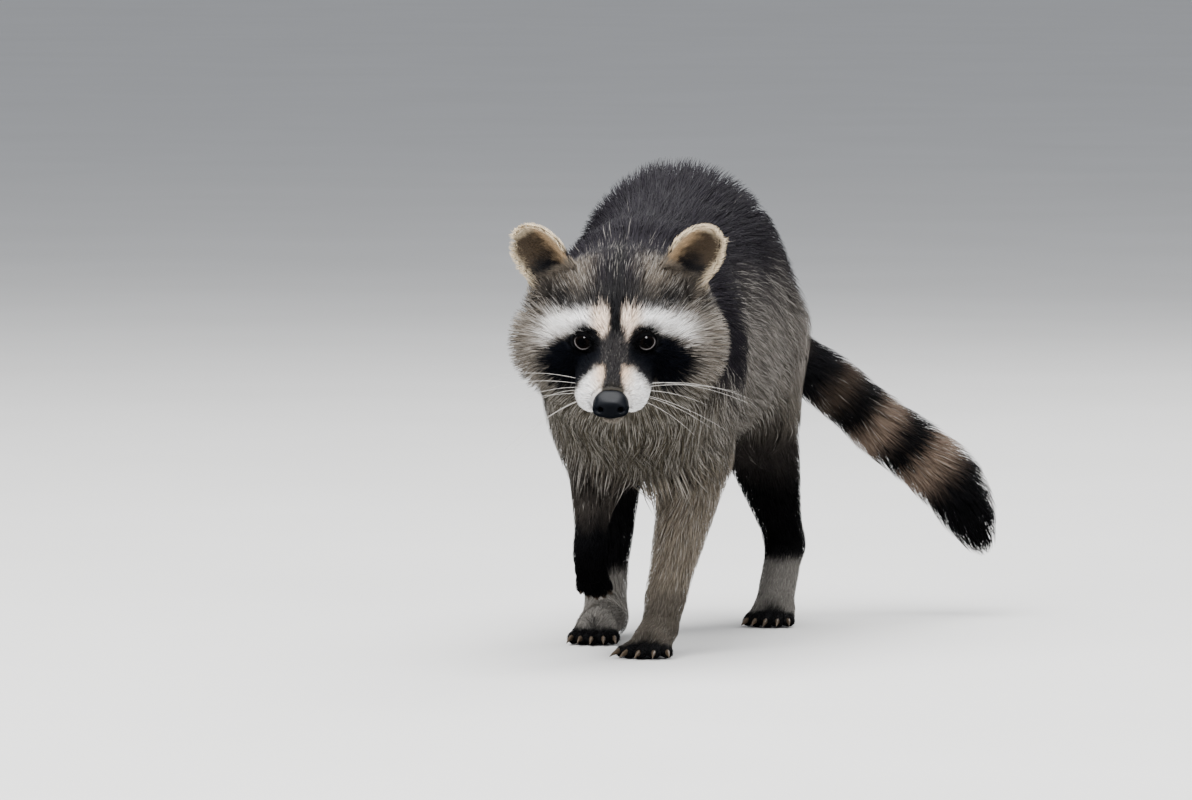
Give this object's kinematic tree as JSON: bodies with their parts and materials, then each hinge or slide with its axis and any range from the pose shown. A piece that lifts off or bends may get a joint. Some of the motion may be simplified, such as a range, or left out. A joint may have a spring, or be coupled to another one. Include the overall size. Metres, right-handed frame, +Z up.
{
  "type": "raccoon model",
  "caption": "Life-size still model of a raccoon walking, one forepaw lifted, head level and forward, banded tail trailing low to one side.",
  "frame": {"origin": "on the floor under the middle of the whole animal", "axes": "+Z up; the animal walks towards -Y and its left side is +X"},
  "size_m": [0.2652, 0.5682, 0.3113],
  "materials": {
    "back": "charcoal outer coat, matt",
    "flank": "grizzled grey-brown coat, matt",
    "face": "short grey coat, matt",
    "pale": "cream-white coat, matt",
    "dark": "black coat, matt",
    "eye": "wet, glossy",
    "nose": "damp black leather, satin",
    "claw": "dark horn, satin"
  },
  "bodies": {
    "root": {"belly": "flank", "chest": "flank", "ear_left": "pale", "ear_right": "pale", "eye_left": "eye", "eye_right": "eye", "finger_claw_1_left": "claw", "finger_claw_1_right": "claw", "finger_claw_2_left": "claw", "finger_claw_2_right": "claw", "finger_claw_3_left": "claw", "finger_claw_3_right": "claw", "finger_claw_4_left": "claw", "finger_claw_4_right": "claw", "finger_claw_5_left": "claw", "finger_claw_5_right": "claw", "foot_left": "pale", "foot_right": "pale", "forearm_left": "flank", "forearm_right": "flank", "forepaw_left": "pale", "forepaw_right": "pale", "head": "face", "lower_jaw": "pale", "muzzle": "pale", "neck": "back", "nose": "nose", "rump": "back", "shank_left": "flank", "shank_right": "flank", "tail_1": "flank", "tail_2": "dark", "tail_3": "flank", "tail_4": "dark", "thigh_left": "back", "thigh_right": "back", "toe_claw_1_left": "claw", "toe_claw_1_right": "claw", "toe_claw_2_left": "claw", "toe_claw_2_right": "claw", "toe_claw_3_left": "claw", "toe_claw_3_right": "claw", "toe_claw_4_left": "claw", "toe_claw_4_right": "claw", "toe_claw_5_left": "claw", "toe_claw_5_right": "claw", "upper_arm_left": "back", "upper_arm_right": "back"}
  },
  "joints": []
}
